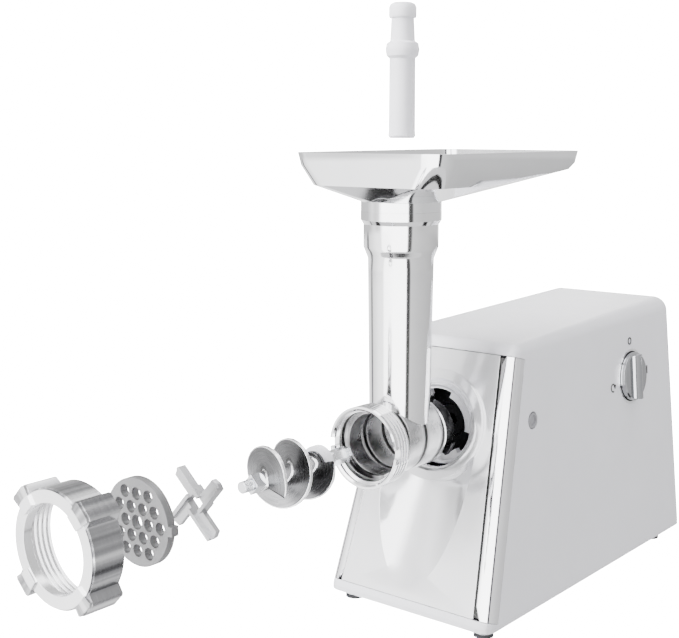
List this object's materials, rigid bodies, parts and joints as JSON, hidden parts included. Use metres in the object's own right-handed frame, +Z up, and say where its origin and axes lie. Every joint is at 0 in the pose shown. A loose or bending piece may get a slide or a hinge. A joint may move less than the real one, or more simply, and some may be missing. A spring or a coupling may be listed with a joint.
{
  "type": "electric meat grinder",
  "caption": "Electric meat grinder: plastic drive housing with dial and release button, cast head with tray and pusher, and auger, cutter, plate and ring nut laid out in line",
  "frame": {"origin": "floor level, on the machine's middle plane, halfway between the ring nut's front and the housing's rear in the laid-out rest pose; it lies 15 mm behind the filling tube's axis", "axes": "+X is the dial side (right, seen from the front), +Y runs from the operator to the rear along the barrel and every push-on piece, +Z is up. At rest each joint is at 0 and the pieces stand apart; every slide at its maximum is the assembled grinder."},
  "size_m": [0.1485, 0.6494, 0.4519],
  "materials": {
    "white_shell": "glossy white",
    "pearl_panel": "pearl, glossy",
    "bright_trim": "bright plated",
    "black_plastic": "matte black",
    "rubber": "matte",
    "zinc_steel": "plain steel",
    "grey_marks": "raised print",
    "board": "resin board",
    "bronze": "sintered bronze",
    "core_steel": "laminated steel",
    "copper": "enamelled copper",
    "brown_plastic": "moulded",
    "carbon": "carbon",
    "gear_nylon": "moulded nylon",
    "cast_alloy": "polished casting",
    "white_food_plastic": "food-safe plastic",
    "plate_steel": "matte grey",
    "blade_steel": "satin",
    "chrome_dial": "bright plated"
  },
  "bodies": {
    "housing": {"housing_shell": "white_shell", "front_cover": "pearl_panel", "front_trims": "bright_trim", "socket_bezel": "bright_trim", "socket_ring": "white_shell", "socket_liner": "black_plastic", "liner_posts": "black_plastic", "base_plate": "white_shell", "rubber_feet": "rubber", "foot_screws": "zinc_steel", "dial_bezel": "bright_trim", "dial_cup": "black_plastic", "dial_symbols": "grey_marks", "rotary_switch": "black_plastic", "cord_gland": "black_plastic", "control_board": "board", "gearbox_front_plate": "zinc_steel", "gearbox_rear_plate": "zinc_steel", "gearbox_posts": "zinc_steel", "shaft_bushes": "bronze", "motor_stator": "core_steel", "stator_coils": "copper", "motor_end_bracket": "zinc_steel", "motor_screws": "zinc_steel", "brush_holders": "brown_plastic", "carbon_brushes": "carbon", "release_spring": "zinc_steel"},
    "release": {"release_button": "white_shell", "release_yoke": "zinc_steel"},
    "dial": {"switch_knob": "chrome_dial", "switch_shaft": "zinc_steel"},
    "output": {"output_gear": "zinc_steel", "drive_socket": "zinc_steel"},
    "second_stage": {"second_gear": "gear_nylon", "third_pinion": "zinc_steel", "second_layshaft": "zinc_steel"},
    "first_stage": {"first_gear": "gear_nylon", "second_pinion": "zinc_steel", "first_layshaft": "zinc_steel"},
    "armature": {"motor_shaft": "zinc_steel", "motor_pinion": "zinc_steel", "rotor_core": "core_steel", "commutator": "copper", "cooling_fan": "black_plastic"},
    "head": {"head_casting": "cast_alloy"},
    "tray": {"tray_pan": "cast_alloy"},
    "pusher": {"pusher_rod": "white_food_plastic", "pusher_cap": "white_food_plastic"},
    "bush": {"auger_bush": "white_food_plastic"},
    "auger": {"auger_screw": "cast_alloy", "auger_shaft": "zinc_steel"},
    "cutter_body": {"cutter": "blade_steel"},
    "plate": {"grinding_plate": "plate_steel"},
    "ring": {"ring_nut": "cast_alloy"}
  },
  "joints": [
    {"name": "head_plug", "type": "slide", "parent": "housing", "child": "head", "axis": [0, 1, 0], "range_m": [0, 0.027]},
    {"name": "tray_seat", "type": "slide", "parent": "head", "child": "tray", "axis": [0, 0, -1], "range_m": [-0.06, 0]},
    {"name": "pusher_drop", "type": "slide", "parent": "tray", "child": "pusher", "axis": [0, 0, -1], "range_m": [0, 0.097]},
    {"name": "bush_slide", "type": "slide", "parent": "head", "child": "bush", "axis": [0, 1, 0], "range_m": [0, 0.118]},
    {"name": "auger_spin", "type": "hinge", "parent": "bush", "child": "auger", "pos_m": [0, -0.105, 0.1445], "axis": [0, 1, 0], "continuous": true},
    {"name": "plate_slide", "type": "slide", "parent": "bush", "child": "plate", "axis": [0, 1, 0], "range_m": [0, 0.088]},
    {"name": "cutter_slide", "type": "slide", "parent": "auger", "child": "cutter_body", "axis": [0, 1, 0], "range_m": [0, 0.05]},
    {"name": "ring_slide", "type": "slide", "parent": "plate", "child": "ring", "axis": [0, 1, 0], "range_m": [0, 0.053]},
    {"name": "dial_turn", "type": "hinge", "parent": "housing", "child": "dial", "pos_m": [0.0626, 0.2297, 0.1583], "axis": [0.9969, 0, 0.079], "range_deg": [-90, 90]},
    {"name": "button_press", "type": "slide", "parent": "housing", "child": "release", "axis": [-1, 0, 0], "range_m": [0, 0.004], "stiffness_N_per_m": 600, "springref_m": -0.001, "deforming": ["release_spring"]},
    {"name": "armature_spin", "type": "hinge", "parent": "housing", "child": "armature", "pos_m": [0, 0.153, 0.0531], "axis": [0, 1, 0], "continuous": true},
    {"name": "first_stage_spin", "type": "hinge", "parent": "housing", "child": "first_stage", "pos_m": [0.03, 0.102, 0.073], "axis": [0, 1, 0], "continuous": true},
    {"name": "second_stage_spin", "type": "hinge", "parent": "housing", "child": "second_stage", "pos_m": [0, 0.09, 0.0955], "axis": [0, 1, 0], "continuous": true},
    {"name": "output_spin", "type": "hinge", "parent": "housing", "child": "output", "pos_m": [0, 0.078, 0.1445], "axis": [0, 1, 0], "continuous": true}
  ],
  "couplings": [
    {"joint": "first_stage_spin", "follows": "armature_spin", "ratio": -0.2},
    {"joint": "second_stage_spin", "follows": "armature_spin", "ratio": 0.05},
    {"joint": "output_spin", "follows": "armature_spin", "ratio": -0.016667},
    {"joint": "auger_spin", "follows": "armature_spin", "ratio": -0.016667},
    {"joint": "cutter_slide", "follows": "plate_slide", "ratio": 0.56818}
  ]
}
